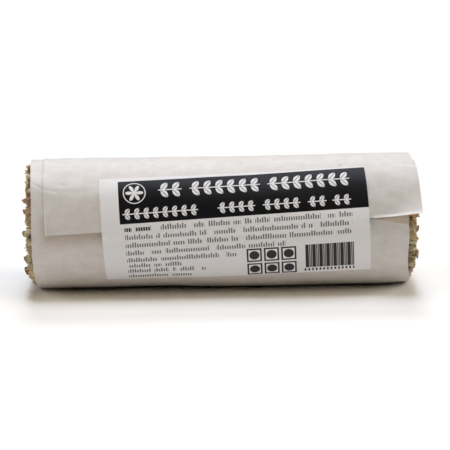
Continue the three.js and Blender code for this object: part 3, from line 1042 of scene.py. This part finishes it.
def sticker_finish():
    """White sticker paper with black and grey print, laid out in millimetres on its own UV map."""
    printed = Finish("printed_sticker", {"Specular IOR Level": 0.15})
    reckon = printed.reckon

    def plus(first, second):
        return reckon("ADD", first, second)

    def minus(first, second):
        return reckon("SUBTRACT", first, second)

    def times(first, second):
        return reckon("MULTIPLY", first, second)

    def size_of(value):
        return reckon("ABSOLUTE", value)

    def all_of(first, *others):
        for other in others:
            first = times(first, other)
        return first

    def any_of(first, *others):
        for other in others:
            first = reckon("MAXIMUM", first, other)
        return first

    def without(first, second):
        return times(first, minus(1.0, second))

    def between(value, low, high, soft=print_soft):
        rising = reckon("DIVIDE", minus(value, low), soft)
        falling = reckon("DIVIDE", minus(high, value), soft)
        return reckon("MINIMUM", 1.0, any_of(0.0, reckon("MINIMUM", rising, falling)))

    def in_box(across, up, left, right_end, top, bottom):
        return all_of(between(across, left, right_end), between(up, top, bottom))

    def distance(across, up):
        return reckon("SQRT", plus(times(across, across), times(up, up)))

    def by_chance(stroke, row):
        """A number from 0 to 1 that is the same all over one stroke of a row."""
        cell = printed.add("CombineXYZ", "Vector", {"X": stroke, "Y": row})
        return printed.add("TexWhiteNoise", "Value", {"Vector": cell})

    uv = printed.add("UVMap", "UV", {})
    right = times(printed.add("SeparateXYZ", "X", {"Vector": uv}), sticker_length / mm)
    from_top = times(minus(1.0, printed.add("SeparateXYZ", "Y", {"Vector": uv})), sticker_height / mm)
    from_right = minus(sticker_length / mm, right)
    down = minus(from_top, times(from_right, print_turned))

    # the black band, a little askew on the sticker, reaches its right edge
    band_down = minus(down, times(from_right, print_turned))
    band = all_of(
        between(right, band_left, past_sticker),
        between(band_down, band_edges[0], past_sticker),
        between(down, -past_sticker, band_edges[1]),
    )

    def leaf_row_print(middle, period, length, plump, groups):
        """White leaves in pairs along a fine stem, in groups of (start, pairs)."""
        start = groups[0][0]
        inside = between(right, start, start + groups[0][1] * period)
        for (before, _), (after, pairs) in zip(groups[:-1], groups[1:]):
            start = plus(times(reckon("GREATER_THAN", right, after - 0.3), after - before), start)
            inside = any_of(inside, between(right, after, after + pairs * period))
        in_group = plus(minus(right, start), 20 * period)
        cell = minus(reckon("MODULO", in_group, period), period * leaf_middle[0])
        away = size_of(minus(down, middle))
        up_leaf = minus(away, length * leaf_middle[1])
        along_leaf = plus(times(cell, leaf_slant[0]), times(up_leaf, leaf_slant[1]))
        over_leaf = size_of(minus(times(up_leaf, leaf_slant[0]), times(cell, leaf_slant[1])))
        share = reckon("DIVIDE", along_leaf, length / 2)
        half = times(minus(1.0, times(share, share)), plump)
        blade = between(minus(half, over_leaf), 0.0, past_sticker)
        blade = without(blade, between(over_leaf, -past_sticker, leaf_rib))
        return all_of(any_of(blade, between(away, -past_sticker, leaf_stem)), inside)

    # a flower of six petals in a ring, before the upper row
    flower_x = minus(right, flower_middle[0])
    flower_y = minus(down, flower_middle[1])
    flower_out = distance(flower_x, flower_y)
    flower_turned = reckon("ARCTAN2", flower_y, flower_x)
    lobes = size_of(reckon("COSINE", times(flower_turned, 3.0)))
    petal_end = plus(times(lobes, petal_length), petal_root)
    petals = between(minus(petal_end, flower_out), 0.0, past_sticker)
    flower = any_of(petals, between(flower_out, *flower_ring))
    ink = without(band, any_of(flower, *(leaf_row_print(*row) for row in leaf_print)))

    def stroke_row(middle, start, end, bold=0.0):
        """One row of fine upright strokes with gaps, in the place of a line of small print."""
        row = middle * 7.3
        stroke_place = reckon("DIVIDE", right, stroke_repeat)
        stroke = reckon("FLOOR", stroke_place)
        side, other_side, side_soft = stroke_sides
        upright = between(minus(stroke_place, stroke), side, other_side + bold, side_soft)
        tall = times(reckon("GREATER_THAN", by_chance(stroke, row), 1 - tall_share), tall_extra)
        height = minus(down, middle)
        taller = between(plus(height, tall), -stroke_half, 0.0, stroke_end_soft)
        reach = any_of(taller, between(height, -stroke_half, stroke_half, stroke_end_soft))
        block = reckon("FLOOR", reckon("DIVIDE", plus(right, middle), block_repeat))
        kept = reckon("GREATER_THAN", by_chance(block, row), blocks_out)
        return all_of(upright, reach, kept, between(right, start, end))

    fine_print = any_of(times(stroke_row(*bold_row), bold_ink), *(stroke_row(*row) for row in stroke_rows))

    # framed squares with a plain disc in each
    square_x = minus(right, square_corner[0])
    square_y = minus(down, square_corner[1])
    in_x = reckon("MODULO", plus(square_x, 10 * square_repeat[0]), square_repeat[0])
    in_y = reckon("MODULO", plus(square_y, 10 * square_repeat[1]), square_repeat[1])
    disc_out = distance(minus(in_x, disc_middle[0]), minus(in_y, disc_middle[1]))
    framed = without(in_box(in_x, in_y, *frame_outside), in_box(in_x, in_y, *frame_inside))
    ends = [count * repeat for count, repeat in zip(square_counts, square_repeat)]
    squares = any_of(framed, between(disc_out, -past_sticker, disc_radius))
    squares = all_of(squares, in_box(square_x, square_y, 0.0, ends[0], 0.0, ends[1]))

    # upright bars that repeat evenly, over a row of ticks
    in_bar = reckon("MODULO", minus(right, bar_start), bar_repeat)
    bars = any_of(*(between(in_bar, *stripe) for stripe in bar_stripes))
    bars = all_of(bars, in_box(right, down, *bar_box))
    in_tick = reckon("MODULO", minus(right, tick_start), tick_repeat)
    ticks = all_of(between(in_tick, *tick_stripe), in_box(right, down, *tick_box))

    grey_print = any_of(times(fine_print, fine_ink_depth), squares, bars, ticks)
    inked = any_of(ink, times(reckon("MINIMUM", grey_print, 1.0), ink_depth))
    fibres = printed.noise(3200, 2.0)
    colour = printed.mixed("MIX", inked, printed.mixed("MIX", fibres, *label_whites), label_ink)
    roughness = minus(label_roughness, times(ink, ink_glossier))
    printed.links.new(roughness, printed.shader.inputs["Roughness"])
    return printed.finished(colour, printed.raised(fibres, 0.25, 0.02 * mm))


label.data.materials.append(sticker_finish())
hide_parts("sticker")
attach(label, "root")

# The studio: a wide white table before a white wall. Daylight comes from above, from behind and from both
# sides, with a little warm light from the front. Two small lamps above draw the fine edge of the shadow.
table_size = 60
table_white = (0.90, 0.875, 0.84, 1)

# each light: in degrees, how wide it looks and how far behind and to the right it stands, and its colour
studio_lights = {
    "window_above": (30, 8, 0, (0.956, 0.996, 1.091)),
    "window_behind": (20, 40, 0, (1.094, 1.157, 1.233)),
    "wall_behind": (40, 50, 40, (0.075, 0.111, 0.136)),
    "window_right": (40, 0, 60, (1.295, 1.304, 1.325)),
    "window_left": (40, 0, -60, (0.969, 0.926, 0.838)),
    "warm_front": (40, -25, 30, (0.310, 0.222, 0.025)),
    "lamp_in_front": (5, -6, 0, (0.346, 0.360, 0.416)),
    "lamp_above": (4, 0, 0, (0.202, 0.235, 0.337)),
}
bpy.ops.mesh.primitive_plane_add(size=table_size)
table = bpy.context.object
table.name = "white_table"
table_finish = Finish("white_table", {"Base Color": table_white, "Roughness": 0.9})
table.data.materials.append(table_finish.material)
for name, (spread, behind, right_side, colour) in studio_lights.items():
    bpy.ops.object.light_add(type="SUN", location=(0, 0, 1))
    lamp = bpy.context.object
    lamp.name = name
    lamp.data.angle = math.radians(spread)
    lamp.data.energy = max(colour)
    lamp.data.color = np.array(colour) / max(colour)
    towards = Vector((math.tan(math.radians(right_side)), math.tan(math.radians(behind)), 1))
    lamp.rotation_mode = "QUATERNION"
    lamp.rotation_quaternion = (-towards).to_track_quat("-Z", "Y")

# the wall is seen, but gives no light of its own
white_wall = bpy.data.worlds.new("white_wall")
bpy.context.scene.world = white_wall
white_wall.use_nodes = True
white_wall.node_tree.nodes["Background"].inputs["Color"].default_value = (1, 1, 1, 1)
white_wall.cycles_visibility.diffuse = False
white_wall.cycles_visibility.glossy = False
white_wall.cycles_visibility.transmission = False
bpy.context.scene.view_settings.view_transform = "Standard"
